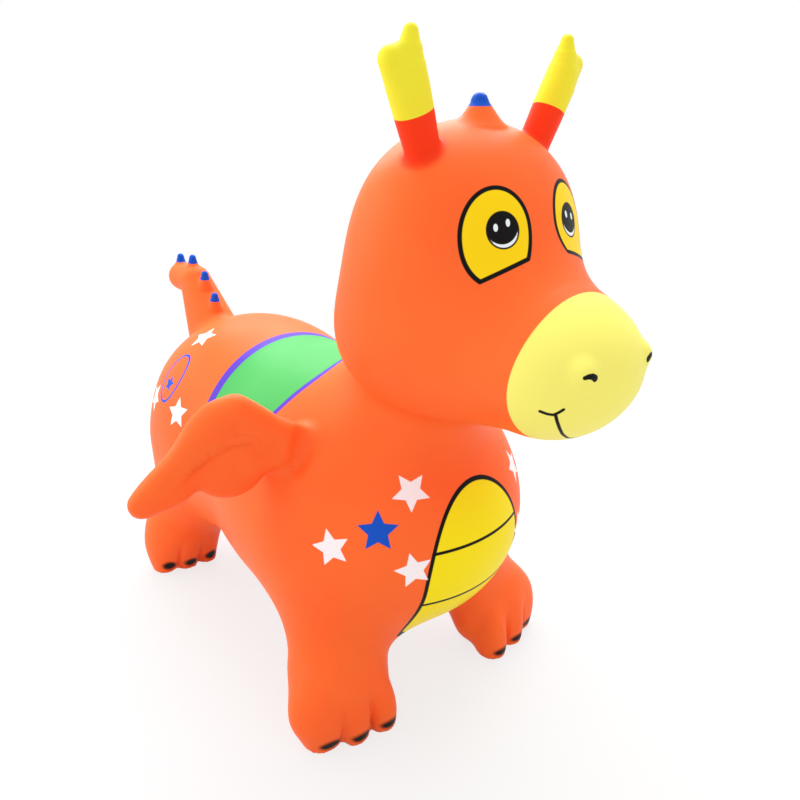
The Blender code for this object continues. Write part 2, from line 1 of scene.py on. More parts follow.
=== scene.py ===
"""Looks of the inflatable ride-on dragon: a soft-PVC skin with its paint and prints, and an air valve.

The skin is worked out in the dragon's own frame: X forward to the nose, Y to its left, Z up, and its
soles on Z = 0. STAND_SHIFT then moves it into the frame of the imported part. Sizes are in metres.
"""

import math

import bmesh
import bpy
import numpy as np
from mathutils import Matrix, Vector

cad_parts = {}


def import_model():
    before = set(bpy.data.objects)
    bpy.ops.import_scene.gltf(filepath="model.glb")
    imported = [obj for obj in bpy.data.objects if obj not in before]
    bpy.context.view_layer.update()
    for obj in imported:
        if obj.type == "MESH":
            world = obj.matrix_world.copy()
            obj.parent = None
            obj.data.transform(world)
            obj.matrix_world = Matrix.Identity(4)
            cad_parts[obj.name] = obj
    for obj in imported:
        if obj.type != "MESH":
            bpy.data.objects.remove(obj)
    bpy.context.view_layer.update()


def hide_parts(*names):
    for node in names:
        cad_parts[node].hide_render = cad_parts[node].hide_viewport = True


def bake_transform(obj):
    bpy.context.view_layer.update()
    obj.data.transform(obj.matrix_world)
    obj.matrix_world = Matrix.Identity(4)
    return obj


STAND_SHIFT = np.array([-0.0115, 0.0, 0.0])

# Skin mesh
SCULPT_VOXEL = 0.0028
BALL_SUBDIVISIONS = 3
BALL_SPACING = 0.3
BALL_GAPS_LEAST = 3
REFINE_ROUNDS = 2
REFINE_BAND = 0.0032
SNAP_STEPS = 3
SNAP_SHARE = 0.9
PRINT_SNAP_STEPS = 6
SLOPE_STEP = 0.0003
CAP_SINK = 0.003

# Trunk: two round ends and a barrel between them
RUMP_CENTRE = (-0.121, 0.0, 0.1665)
RUMP_RADII = (0.0945, 0.095, 0.088)
CHEST_CENTRE = (0.0625, 0.0, 0.1415)
CHEST_RADII = (0.126, 0.112, 0.094)
BARREL_BACK = (-0.073, 0.0, 0.143)
BARREL_FRONT = (0.068, 0.0, 0.1655)
BARREL_RADIUS = 0.0985
TRUNK_FILLET = 0.05

# Legs, given for the left side
FORE_LEG = {
    "hip": (0.090, 0.045, 0.134),
    "hip_radius": 0.042,
    "ankle": (0.1125, 0.082, 0.0465),
    "ankle_radius": 0.032,
    "foot": (0.131, 0.0865),
    "foot_radii": (0.0225, 0.0440, 0.0320),
    "toes": ((0.0190, -0.0235), (0.0156, 0.0010), (0.0055, 0.0235)),
    "toe_radii": (0.0142, 0.0130, 0.0290),
    "nail_height": 0.0075,
    "nail_radii": (0.0080, 0.0085, 0.0038),
}
HIND_LEG = {
    "hip": (-0.139, 0.040, 0.124),
    "hip_radius": 0.047,
    "ankle": (-0.158, 0.0695, 0.0525),
    "ankle_radius": 0.0345,
    "foot": (-0.162, 0.0765),
    "foot_radii": (0.0255, 0.0345, 0.0305),
    "toes": ((0.0135, -0.0190), (0.0111, 0.0025), (0.0041, 0.0225)),
    "toe_radii": (0.0142, 0.0112, 0.0290),
    "nail_height": 0.0095,
    "nail_radii": (0.0080, 0.0066, 0.0052),
}
LEG_FILLET = 0.04
ANKLE_FILLET = 0.025
SOLE_SINK = 0.006
TOE_HEIGHT = 0.012
TOE_FILLET = 0.010
TOE_GROOVE_DEPTH = 0.0032
TOE_GROOVE_WIDTH = 0.0026
TOE_GROOVE_TOP = 0.038
SQUASH_START = 0.020
SQUASH_END = 0.075

# Head and neck
SKULL_CENTRE = (0.1655, 0.0, 0.3735)
SKULL_RADII = (0.0625, 0.078, 0.0675)
CHEEK_CENTRE = (0.158, 0.0, 0.309)
CHEEK_RADII = (0.074, 0.0825, 0.0585)
MUZZLE_CENTRE = (0.2415, 0.0, 0.306)
MUZZLE_RADII = (0.048, 0.0545, 0.0357)
BRIDGE_START = (0.190, 0.0, 0.315)
BRIDGE_RADII = (0.0505, 0.042)
FACE_FILLET = 0.05
SNOUT_FILLET = 0.03
NECK_FOOT = (0.085, 0.0, 0.180)
NECK_TOP = (0.135, 0.0, 0.280)
NECK_RADII = (0.062, 0.052)
NECK_FILLET = 0.02
JAW_FILLET = 0.012
NECK_SEAM = (0.135, 0.0, 0.250)
NECK_SEAM_NORMAL = (0.36, 0.0, 0.933)
NECK_BEND = (0.004, 0.018)
HEAD_HALF_WIDTH = 0.095
NOSTRIL_BUMP = (0.2836, 0.0276, 0.3155)
NOSTRIL_BUMP_RADIUS = 0.0050
NOSTRIL_FILLET = 0.008

# Horns, given for the left side, with joints as (x, y, z, radius), and the crest between them
HORN_BASE = (0.1785, 0.0475, 0.420)
HORN_FORK = (0.181, 0.0655, 0.464)
HORN_INNER = (
    (0.1760, 0.0436, 0.4200, 0.0085),
    (0.1792, 0.0537, 0.4420, 0.0097),
    (0.1816, 0.0612, 0.4590, 0.0102),
    (0.1828, 0.0636, 0.4680, 0.0091),
    (0.1838, 0.0643, 0.4765, 0.0069),
    (0.1847, 0.0643, 0.4850, 0.0041),
)
HORN_OUTER = ((0.1761, 0.0480, 0.4200, 0.0081), (0.1811, 0.0746, 0.4715, 0.0072))
HORN_LOBE_FILLET = 0.006
HORN_FILLET = 0.004
HORN_COLOUR_EDGE = 0.0274
HORN_BEND = (0.0140, HORN_COLOUR_EDGE)
HORN_SEAM_OVERLAP = 0.001
HORN_ZONE_REACH = 0.02
CREST_BASE = (0.1745, 0.0, 0.4370)
CREST_TIP = (0.1737, 0.0, 0.4508)
CREST_RADII = (0.0147, 0.0052)
CREST_FILLET = 0.004
CREST_CAP_HEIGHT = 0.4480

# Wings, given for the left side: joints are (outward, up, through, radius) from the root
WING_ROOT = (0.090, 0.083, 0.226)
WING_OUTWARD = (-0.324, 0.946, 0.0)
WING_RIM = (
    (-0.010, -0.0055, 0.0, 0.0100),
    (0.0215, 0.0115, 0.0, 0.0110),
    (0.0440, 0.0295, 0.0, 0.0100),
    (0.0560, 0.0245, 0.0, 0.0100),
    (0.0760, 0.0070, 0.0, 0.0092),
    (0.0985, -0.0140, 0.0, 0.0085),
    (0.1130, -0.0295, 0.0, 0.0083),
)
WING_RIDGE = (
    (0.0960, -0.0190, 0.0045, 0.0030),
    (0.0777, -0.0034, 0.0066, 0.0040),
    (0.0636, 0.0053, 0.0068, 0.0040),
    (0.0496, 0.0105, 0.0068, 0.0040),
    (0.0370, 0.0100, 0.0064, 0.0040),
    (0.0270, 0.0030, 0.0045, 0.0035),
)
WING_STEM = ((-0.010, -0.007, 0.0, 0.0110), (0.034, -0.009, 0.0, 0.0085))
WING_WEB_CENTRE = (0.052, 0.000, -0.002)
WING_WEB_RADII = (0.031, 0.0365, 0.0095)
WING_LOBE_CENTRE = (0.093, -0.023, -0.001)
WING_LOBE_RADII = (0.023, 0.0125, 0.0080)
WING_LOBE_TILT = -25
WING_OVAL_ROWS = 9
WING_OVAL_REACH = 0.85
WING_RIM_FILLET = 0.006
WING_WEB_FILLET = 0.010
WING_RIDGE_FILLET = 0.003
WING_FILLET = 0.008
WING_SEAM = (0.0255, 0.002)
WING_SEAM_SLOPE = (0.951, 0.309)
WING_BEND = (0.001, 0.016)

# The pinched crease in front of each wing's root, given for the left side as (x, y, z, radius)
PINCH = (
    (0.0995, 0.0859, 0.2364, 0.0045),
    (0.1019, 0.0892, 0.2276, 0.0068),
    (0.1014, 0.0913, 0.2203, 0.0068),
    (0.0993, 0.0948, 0.2122, 0.0045),
)
PINCH_FILLET = 0.006

# Tail, with joints as (x, y, z, radius), and its spikes as (tip x, tip z, root x, root z)
TAIL = ((-0.1847, 0.0, 0.2103, 0.0294), (-0.2265, 0.0, 0.2735, 0.0158), (-0.2560, 0.0, 0.2735, 0.0145))
TAIL_RISE = (-0.552, 0.0, 0.834)
TAIL_FILLET = 0.012
TAIL_SEAM = (-0.199, 0.0, 0.2285)
TAIL_BEND = (0.000, 0.014)
TAIL_ZONE_REACH = 0.01
TAIL_SPIKES = (
    (-0.2568, 0.2942, -0.2580, 0.2800),
    (-0.2286, 0.2970, -0.2300, 0.2830),
    (-0.2045, 0.2840, -0.2060, 0.2710),
    (-0.1868, 0.2648, -0.1883, 0.2520),
)
SPIKE_RADII = (0.0072, 0.0034)
SPIKE_FILLET = 0.003
SPIKE_CAP_LENGTH = 0.0052
SPIKE_CAP_SKIN = 0.0008
SPIKE_DETAIL_SKIN = 0.002
SPIKE_DETAIL_REACH = 0.004

# Face paint, given for the left side
MUZZLE_EDGE = (0.2565, 0.0, 0.324)
MUZZLE_EDGE_NORMAL = (0.997, 0.0, -0.077)
EYE_CENTRE = (0.2225, 0.0332, 0.3826)
EYE_INWARD = (0.360, -0.933, -0.007)
EYE_UP = (-0.311, -0.052, 0.949)
EYE_OVAL = (0.0003, -0.0004, 0.0230, 0.0272)
EYE_LEAN = 0.05
EYE_LOWER_SQUEEZE = 0.9
EYE_LOWER_LID = ((-0.0138, -0.0276), (0.0185, -0.0162))
EYE_LINE = 0.0026
PUPIL = (0.0040, 0.0019, 0.0106)
EYE_GLINTS = ((-0.0006, 0.0034, 0.0014, 0.0022), (0.0073, 0.0058, 0.0014, 0.0022))
EYE_CRESCENT_SHIFT = (-0.0007, 0.0028)
EYE_CRESCENT_INSET = 0.0010
EYE_DEPTH = 0.02
MOUTH_CORNER = (
    (0.2705, 0.0450, 0.2945),
    (0.2732, 0.0421, 0.2930),
    (0.2754, 0.0398, 0.2925),
    (0.2776, 0.0384, 0.2939),
    (0.2799, 0.0368, 0.2962),
)
MOUTH_LINE = (
    (0.2764, 0.0388, 0.2925),
    (0.2759, 0.0364, 0.2881),
    (0.2747, 0.0321, 0.2823),
    (0.2727, 0.0262, 0.2763),
    (0.2702, 0.0171, 0.2702),
    (0.2680, 0.0, 0.2690),
)
MOUTH_HALF_WIDTH = 0.0010
NOSTRIL_SLIT = (
    (0.2880, 0.0316, 0.3153),
    (0.2891, 0.0297, 0.3159),
    (0.2898, 0.0271, 0.3156),
    (0.2900, 0.0250, 0.3141),
)
NOSTRIL_HALF_WIDTHS = (0.0012, 0.0021)

# Body paint
BIB_MIDDLE = (0.004, -0.010)
BIB_HALF_WIDTH = 0.0492
BIB_ARCH_HEIGHT = 0.0555
BIB_LOWER_END = -0.085
BIB_CEILING = 0.235
BIB_TRUNK_BAND = 0.007
BIB_LINE = 0.0027
BIB_BANDS = (0.158, 0.113)
BIB_BAND_HALF_WIDTH = 0.0012
SADDLE_AXIS_HEIGHT = 0.155
SADDLE_REAR = (-0.0595, 0.006)
SADDLE_FRONT = (0.0665, -0.024)
SADDLE_BOW_REACH = 0.1
SADDLE_REACH = 0.120
SADDLE_CORNER = 0.02
SADDLE_REAR_EDGE = 0.0085
SADDLE_FRONT_EDGE = 0.0052
STAR_POINTS = 5
STAR_RADIUS = 0.0142
STAR_WAIST = 0.48
BLUE_STAR_RADIUS = 0.0150
RING_RADII = (0.0145, 0.0235)
RING_HALF_WIDTH = 0.0012
RING_STAR_RADIUS = 0.0080
RING_STAR_DROP = 0.0065

# Places of the prints as (place, spin in degrees); those on the rump are given for the right side
CHEST_STARS = (
    ((0.1646, -0.0444, 0.2011), 31),
    ((0.1383, -0.0944, 0.1643), 17),
    ((0.1781, -0.0532, 0.148), 12),
    ((0.1611, 0.0652, 0.1848), 5),
    ((0.1120, 0.1080, 0.1720), -10),
    ((0.1760, 0.0610, 0.140), 20),
)
BLUE_STARS = (((0.1602, -0.0703, 0.1776), 0), ((0.1430, 0.0920, 0.1560), 0))
RUMP_STARS = (
    ((-0.1189, -0.0488, 0.2468), 25),
    ((-0.0858, -0.0972, 0.1947), 10),
    ((-0.1395, -0.0912, 0.1920), -15),
)
RUMP_RINGS = (((-0.1148, -0.0846, 0.2173), 0),)

# How far paint reaches past its form, and half the width over which its edge fades
HORN_PAINT_REACH = 0.003
HORN_SPRAY_REACH = 0.006
HORN_RED_FADE = 0.0030
MUZZLE_FADE = 0.0004
NAIL_FADE = 0.0024
GLINT_FADE = 0.0002
PRINT_FADE = 0.0003

# Colours, linear RGB
ORANGE = (1.000, 0.150, 0.029)
ORANGE_DEEP = (1.000, 0.130, 0.024)
HORN_RED = (0.940, 0.042, 0.006)
HORN_YELLOW = (0.870, 0.770, 0.034)
MUZZLE_YELLOW = (0.920, 0.840, 0.170)
SPIKE_BLUE = (0.007, 0.085, 0.550)
SADDLE_PURPLE = (0.095, 0.045, 0.500)
SADDLE_GREEN = (0.070, 0.420, 0.100)
BIB_YELLOW = (0.950, 0.760, 0.006)
EYE_YELLOW = (0.980, 0.660, 0.004)
STAR_PALE = (0.970, 0.880, 0.900)
GLINT_WHITE = (0.840, 0.900, 0.930)
INK = (0.004, 0.003, 0.003)
VALVE_WHITE = (0.800, 0.790, 0.740)

# Surfaces: a noise has a scale and a detail, a grain also the strength and depth of its bump
PVC_SPECULAR = 0.10
PVC_ROUGHNESS = (0.37, 0.49)
PVC_SHEEN = (60.0, 4.0)
PVC_MOTTLE = (14.0, 2.0)
PVC_MOTTLE_RANGE = (0.35, 0.75)
PVC_GRAIN = (900.0, 3.0)
PVC_GRAIN_BUMP = (0.12, 0.0004)
VALVE_ROUGHNESS = 0.5
VALVE_SHADE = 0.88
VALVE_MOTTLE = (250.0, 2.0)
VALVE_MOTTLE_RANGE = (0.4, 0.8)
VALVE_GRAIN = (1500.0, 2.0)
VALVE_GRAIN_BUMP = (0.1, 0.0003)

# Floor, light and camera; lamps are (name, place, target, size, power in watts)
FLOOR_RADIUS = 1.6
FLOOR_CORNERS = 96
FLOOR_FADE = (0.45, 1.1)
FLOOR_GREY = 0.66
FLOOR_ROUGHNESS = 0.6
FLOOR_WHITENING = 0.76
WORLD_LIGHT = 0.95
WHITE = (1.0, 1.0, 1.0, 1.0)
LAMPS = (
    ("overhead", (-0.6, 0.5, 1.3), (0.0, 0.0, 0.2), 1.5, 31.0),
    ("side", (-0.9, -1.0, 0.8), (-0.1, 0.0, 0.15), 1.2, 9.0),
)
CAMERA_PLACE = (0.5142, -0.3541, 0.4548)
CAMERA_TILT_DOWN = 21.70
CAMERA_HEADING = 49.39
CAMERA_LENS_MM = 34.63
CAMERA_SENSOR_MM = 36.0
CAMERA_CLIP_START = 0.01


def ellipsoid(p, centre, radii, turn=None):
    """Near-distance from points p to an ellipsoid; the rows of turn are its own axes."""
    q = p - np.asarray(centre)
    if turn is not None:
        q = q @ turn.T
    radii = np.asarray(radii)
    near = np.linalg.norm(q / radii, axis=-1)
    slope = np.maximum(np.linalg.norm(q / radii**2, axis=-1), 1e-9)
    return near * (near - 1.0) / slope


def limb(p, start, end, start_radius, end_radius):
    """Near-distance from points p to a straight limb with round ends and a tapering radius."""
    start = np.asarray(start, float)
    run = np.asarray(end, float) - start
    t = np.clip(((p - start) @ run) / (run @ run), 0.0, 1.0)
    spine = start + t[..., None] * run
    return np.linalg.norm(p - spine, axis=-1) - (start_radius + t * (end_radius - start_radius))


def join(a, b, fillet):
    """Union of two distance fields with a rounded inner corner."""
    reach = np.maximum(fillet - np.abs(a - b), 0.0) / fillet
    return np.minimum(a, b) - reach * reach * fillet / 4.0


def chain(p, joints):
    """Near-distance from points p to a row of limbs; each joint is a place and a radius."""
    row = []
    for (*start, start_radius), (*end, end_radius) in zip(joints[:-1], joints[1:]):
        row.append(limb(p, start, end, start_radius, end_radius))
    return np.min(row, axis=0)


def folded(p):
    """Points mirrored to the dragon's left side."""
    q = p.copy()
    q[..., 1] = np.abs(q[..., 1])
    return q


def trunk_field(p):
    barrel = limb(p, BARREL_BACK, BARREL_FRONT, BARREL_RADIUS, BARREL_RADIUS)
    rump = ellipsoid(p, RUMP_CENTRE, RUMP_RADII)
    chest = ellipsoid(p, CHEST_CENTRE, CHEST_RADII)
    return join(join(rump, barrel, TRUNK_FILLET), chest, TRUNK_FILLET)


def foot_centre(leg):
    x, y = leg["foot"]
    return (x, y, leg["foot_radii"][2] - SOLE_SINK)


def toe_blobs(leg):
    """Centre and radii of each of the foot's toes."""
    x, y = leg["foot"]
    for forward, outward in leg["toes"]:
        yield (x + forward, y + outward, TOE_HEIGHT), leg["toe_radii"]


def toe_grooves(p, leg):
    """How deep the skin is pressed in along the soft grooves between the foot's toes."""
    x, y = leg["foot"]
    outwards = [outward for _, outward in leg["toes"]]
    depth = np.zeros(p.shape[:-1])
    for inner, outer in zip(outwards, outwards[1:]):
        across = (p[..., 1] - y - 0.5 * (inner + outer)) / TOE_GROOVE_WIDTH
        depth = depth + TOE_GROOVE_DEPTH * np.exp(-(across**2))
    fade_up = np.clip(1 - (p[..., 2] / TOE_GROOVE_TOP) ** 2, 0, 1)
    fade_back = np.clip((p[..., 0] - x) / leg["foot_radii"][0], 0, 1)
    return depth * fade_up * fade_back


def leg_field(p, leg):
    column = limb(p, leg["hip"], leg["ankle"], leg["hip_radius"], leg["ankle_radius"])
    foot = ellipsoid(p, foot_centre(leg), leg["foot_radii"])
    for centre, radii in toe_blobs(leg):
        foot = join(foot, ellipsoid(p, centre, radii), TOE_FILLET)
    return join(column, foot, ANKLE_FILLET) + toe_grooves(p, leg)


def head_field(p):
    face = join(
        ellipsoid(p, SKULL_CENTRE, SKULL_RADII), ellipsoid(p, CHEEK_CENTRE, CHEEK_RADII), FACE_FILLET
    )
    bridge = limb(p, BRIDGE_START, MUZZLE_CENTRE, *BRIDGE_RADII)
    snout = join(ellipsoid(p, MUZZLE_CENTRE, MUZZLE_RADII), bridge, SNOUT_FILLET)
    head = join(face, snout, SNOUT_FILLET)
    nostril = np.linalg.norm(folded(p) - np.array(NOSTRIL_BUMP), axis=-1) - NOSTRIL_BUMP_RADIUS
    head = join(head, nostril, NOSTRIL_FILLET)
    return join(head, limb(p, CREST_BASE, CREST_TIP, *CREST_RADII), CREST_FILLET)


def horn_field(p):
    return join(chain(p, HORN_INNER), chain(p, HORN_OUTER), HORN_LOBE_FILLET)


def spike_ends(spike):
    tip_x, tip_z, root_x, root_z = spike
    return (root_x, 0.0, root_z), (tip_x, 0.0, tip_z)


def spike_field(p, spike):
    return limb(p, *spike_ends(spike), *SPIKE_RADII)


def tail_field(p):
    tail = chain(p, TAIL)
    for spike in TAIL_SPIKES:
        tail = join(tail, spike_field(p, spike), SPIKE_FILLET)
    return tail


def wing_axes():
    """The wing's own axes as rows: outward, up and forward through its thickness."""
    outward = Vector(WING_OUTWARD).normalized()
    up = Vector((0.0, 0.0, 1.0))
    return np.array([outward, up, outward.cross(up)])


def wing_point(outward, up, through=0.0):
    """A point of the left wing in the dragon's frame."""
    return np.asarray(WING_ROOT) + np.array([outward, up, through]) @ wing_axes()


def wing_field(p):
    w = (p - np.asarray(WING_ROOT)) @ wing_axes().T
    rim = join(chain(w, WING_RIM), chain(w, WING_STEM), WING_RIM_FILLET)
    turn = np.array(Matrix.Rotation(math.radians(WING_LOBE_TILT), 3, "Z")).T
    web = ellipsoid(w, WING_WEB_CENTRE, WING_WEB_RADII)
    lobe = ellipsoid(w, WING_LOBE_CENTRE, WING_LOBE_RADII, turn)
    wing = join(rim, join(web, lobe, WING_RIM_FILLET), WING_WEB_FILLET)
    return join(wing, chain(w, WING_RIDGE), WING_RIDGE_FILLET)


def skin_field(p):
    """Near-distance from points p to the whole outer skin; negative is inside."""
    q = folded(p)
    skin = trunk_field(p)
    skin = join(skin, leg_field(q, FORE_LEG), LEG_FILLET)
    skin = join(skin, leg_field(q, HIND_LEG), LEG_FILLET)
    skin = join(skin, limb(p, NECK_FOOT, NECK_TOP, *NECK_RADII), NECK_FILLET)
    skin = join(skin, head_field(p), JAW_FILLET)
    skin = join(skin, horn_field(q), HORN_FILLET)
    skin = join(skin, tail_field(p), TAIL_FILLET)
    skin = join(skin, wing_field(q), WING_FILLET)
    skin = -join(-skin, chain(q, PINCH), PINCH_FILLET)
    return np.maximum(skin, -p[..., 2])


def skin_normals(points):
    """Outward unit normals of the skin at the given points."""
    steps = SLOPE_STEP * np.eye(3)
    slope = np.stack([skin_field(points + step) - skin_field(points - step) for step in steps], axis=-1)
    return slope / np.maximum(np.linalg.norm(slope, axis=-1, keepdims=True), 1e-9)


def snapped(points, steps=SNAP_STEPS):
    """Points moved along the field's slope onto the skin."""
    for _ in range(steps):
        points = points - SNAP_SHARE * skin_field(points)[:, None] * skin_normals(points)
    return points


def mirrored(point):
    return (point[0], -point[1], point[2])


def unit_ball():
    """Points and triangles of a ball of radius 1."""
    bm = bmesh.new()
    bmesh.ops.create_icosphere(bm, subdivisions=BALL_SUBDIVISIONS, radius=1.0)
    points = np.array([vertex.co for vertex in bm.verts])
    triangles = np.array([[vertex.index for vertex in face.verts] for face in bm.faces])
    bm.free()
    return points, triangles


def limb_balls(start, end, start_radius, end_radius):
    """A limb as a row of overlapping balls, close enough to read as one form."""
    start, end = Vector(start), Vector(end)
    spacing = BALL_SPACING * min(start_radius, end_radius)
    count = max(BALL_GAPS_LEAST, math.ceil((end - start).length / spacing))
    for i in range(count + 1):
        t = i / count
        yield start.lerp(end, t), [start_radius + t * (end_radius - start_radius)] * 3


def chain_balls(joints):
    for (*start, start_radius), (*end, end_radius) in zip(joints[:-1], joints[1:]):
        yield from limb_balls(start, end, start_radius, end_radius)


def wing_oval_balls(centre, radii, tilt):
    """A flat oval form of the wing as rows of balls."""
    length, height, depth = radii
    along = np.array([math.cos(tilt), math.sin(tilt), 0.0])
    across = np.array([-math.sin(tilt), math.cos(tilt), 0.0])
    for t in np.linspace(-WING_OVAL_REACH, WING_OVAL_REACH, WING_OVAL_ROWS):
        half = math.sqrt(1.0 - t * t)
        middle = np.asarray(centre) + t * height * across
        ends = (wing_point(*(middle + side * (length - depth) * half * along)) for side in (-1, 1))
        yield from limb_balls(*ends, depth * half, depth * half)


def paired_balls():
    """Centre and radii of the balls on the left side that the right side repeats."""
    for leg in (FORE_LEG, HIND_LEG):
        yield from limb_balls(leg["hip"], leg["ankle"], leg["hip_radius"], leg["ankle_radius"])
        yield foot_centre(leg), leg["foot_radii"]
        yield from toe_blobs(leg)
    yield NOSTRIL_BUMP, [NOSTRIL_BUMP_RADIUS] * 3
    yield from chain_balls(HORN_INNER)
    yield from chain_balls(HORN_OUTER)
    for joints in (WING_RIM, WING_STEM):
        yield from chain_balls([(*wing_point(*place), radius) for *place, radius in joints])
    yield from wing_oval_balls(WING_WEB_CENTRE, WING_WEB_RADII, 0.0)
    yield from wing_oval_balls(WING_LOBE_CENTRE, WING_LOBE_RADII, math.radians(WING_LOBE_TILT))


def middle_balls():
    """Centre and radii of the balls on the dragon's middle plane."""
    yield RUMP_CENTRE, RUMP_RADII
    yield CHEST_CENTRE, CHEST_RADII
    yield from limb_balls(BARREL_BACK, BARREL_FRONT, BARREL_RADIUS, BARREL_RADIUS)
    yield from limb_balls(NECK_FOOT, NECK_TOP, *NECK_RADII)
    yield SKULL_CENTRE, SKULL_RADII
    yield CHEEK_CENTRE, CHEEK_RADII
    yield MUZZLE_CENTRE, MUZZLE_RADII
    yield from limb_balls(BRIDGE_START, MUZZLE_CENTRE, *BRIDGE_RADII)
    yield from limb_balls(CREST_BASE, CREST_TIP, *CREST_RADII)
    yield from chain_balls(TAIL)
    for spike in TAIL_SPIKES:
        yield from limb_balls(*spike_ends(spike), *SPIKE_RADII)


def rough_forms():
    """The dragon's forms as overlapping balls in one mesh."""
    points, triangles = unit_ball()
    balls = list(middle_balls())
    for centre, radii in paired_balls():
        balls += [(centre, radii), (mirrored(centre), radii)]
    cloud = np.concatenate([points * np.array(radii) + np.array(centre) for centre, radii in balls])
    faces = np.concatenate([triangles + i * len(points) for i in range(len(balls))])
    mesh = bpy.data.meshes.new("forms")
    mesh.from_pydata(cloud.tolist(), [], faces.tolist())
    return mesh


def remeshed(mesh):
    """One closed surface around the rough forms."""
    obj = bpy.data.objects.new("sculpt", mesh)
    bpy.context.scene.collection.objects.link(obj)
    remesh = obj.modifiers.new("Remesh", "REMESH")
    remesh.mode = "VOXEL"
    remesh.voxel_size = SCULPT_VOXEL
    bm = bmesh.new()
    bm.from_object(obj, bpy.context.evaluated_depsgraph_get())
    bpy.data.objects.remove(obj)
    bpy.data.meshes.remove(mesh)
    return bm


def snap_mesh(bm):
    points = snapped(np.array([vertex.co for vertex in bm.verts]))
    for vertex, point in zip(bm.verts, points):
        vertex.co = point
    return points


def sculpted_skin():
    """Points and triangles of the whole skin, finer along paint edges and on the small forms."""
    bm = remeshed(rough_forms())
    points = snap_mesh(bm)
    for _ in range(REFINE_ROUNDS):
        bm.verts.index_update()
        fine = needs_detail(points)
        edges = [edge for edge in bm.edges if fine[edge.verts[0].index] and fine[edge.verts[1].index]]
        bmesh.ops.subdivide_edges(bm, edges=edges, cuts=1, use_grid_fill=True)
        points = snap_mesh(bm)
    bmesh.ops.triangulate(bm, faces=bm.faces)
    bm.verts.index_update()
    triangles = np.array([[vertex.index for vertex in face.verts] for face in bm.faces])
    bm.free()
    return points, triangles


def needs_detail(points):
    """Marks points near a paint edge, or on a form as small as a spike."""
    near_edge = np.min([np.abs(d) for d in paint(points).values()], axis=0) < REFINE_BAND
    near_spike = np.min([spike_field(points, spike) for spike in TAIL_SPIKES], axis=0) < SPIKE_DETAIL_REACH
    return near_edge | (near_spike & (tail_field(points) < SPIKE_DETAIL_SKIN))


def plane_distance(p, point, normal):
    normal = np.asarray(normal, float)
    return (p - np.asarray(point)) @ (normal / np.linalg.norm(normal))


def decal(p, centre, right, up):
    """Coordinates of points p in a flat frame at centre: to the right, up, and out of the frame."""
    right = np.asarray(right, float) / np.linalg.norm(right)
    up = np.asarray(up, float) - np.dot(up, right) * right
    up = up / np.linalg.norm(up)
    q = p - np.asarray(centre)
    return q @ right, q @ up, q @ np.cross(right, up)


def skin_decal(p, centre, spin):
    """Decal frame that lies on the skin at centre, turned by spin degrees from upright."""
    place = snapped(np.array([centre]), PRINT_SNAP_STEPS)
    out = skin_normals(place)[0]
    right = np.cross((0.0, 0.0, 1.0), out)
    turn = np.array(Matrix.Rotation(math.radians(spin), 3, Vector(out)))
    return decal(p, place[0], turn @ right, turn @ np.cross(out, right))


def stroke(p, line, start_width, end_width):
    """Distance to a line of points laid onto the skin, with its half-width at each end."""
    line = snapped(np.array(line), PRINT_SNAP_STEPS)
    widths = np.linspace(start_width, end_width, len(line))
    return chain(p, np.column_stack([line, widths]))


def oval(u, v, centre_u, centre_v, radius_u, radius_v):
    flat = np.stack([u - centre_u, v - centre_v, np.zeros_like(u)], axis=-1)
    return ellipsoid(flat, (0.0, 0.0, 0.0), (radius_u, radius_v, 1.0))


def star(u, v, radius):
    """Distance to a star with its first point up."""
    sector = 2 * math.pi / STAR_POINTS
    angle = np.abs((np.arctan2(u, v) + sector / 2) % sector - sector / 2)
    reach = np.hypot(u, v)
    x, y = reach * np.cos(angle), reach * np.sin(angle)
    waist = STAR_WAIST * radius
    edge = np.array([waist * math.cos(sector / 2) - radius, waist * math.sin(sector / 2)])
    return ((x - radius) * edge[1] - y * edge[0]) / np.linalg.norm(edge)


def eye_paint(p):
    """Distances to the eye's outline, its yellow, its pupil and its glints."""
    u, v, out = decal(p, EYE_CENTRE, EYE_INWARD, EYE_UP)
    away = np.abs(out) - EYE_DEPTH
    (u0, v0), (u1, v1) = EYE_LOWER_LID
    lid = ((v1 - v0) * (u - u0) - (u1 - u0) * (v - v0)) / math.hypot(u1 - u0, v1 - v0)
    rounded = oval(u - EYE_LEAN * v, np.maximum(v, EYE_LOWER_SQUEEZE * v), *EYE_OVAL)
    outline = np.max([rounded, lid, away], axis=0)
    pupil_u, pupil_v, pupil_radius = PUPIL
    pupil = np.maximum(np.hypot(u - pupil_u, v - pupil_v) - pupil_radius, away)
    glints = np.min([oval(u, v, *glint) for glint in EYE_GLINTS], axis=0)
    shift_u, shift_v = EYE_CRESCENT_SHIFT
    inner = np.hypot(u - pupil_u - shift_u, v - pupil_v - shift_v) - pupil_radius
    crescent = np.maximum(pupil + EYE_CRESCENT_INSET, -inner)
    return outline, outline + EYE_LINE, pupil, np.maximum(np.minimum(glints, crescent), away)


def bib_paint(p):
    """Distances to the bib's outline, its yellow and its cross bands."""
    x, y, z = (p - np.asarray(CHEST_CENTRE)).T
    run = np.arctan2(z, x) * CHEST_RADII[2]
    middle_y, middle_run = BIB_MIDDLE
    arch = oval(y, np.maximum(run, middle_run), middle_y, middle_run, BIB_HALF_WIDTH, BIB_ARCH_HEIGHT)
    off_trunk = trunk_field(p) - BIB_TRUNK_BAND
    outline = np.max([arch, BIB_LOWER_END - run, -x, p[:, 2] - BIB_CEILING, off_trunk], axis=0)
    bands = np.min([np.abs(p[:, 2] - height) for height in BIB_BANDS], axis=0) - BIB_BAND_HALF_WIDTH
    return outline, outline + BIB_LINE, np.maximum(bands, outline)


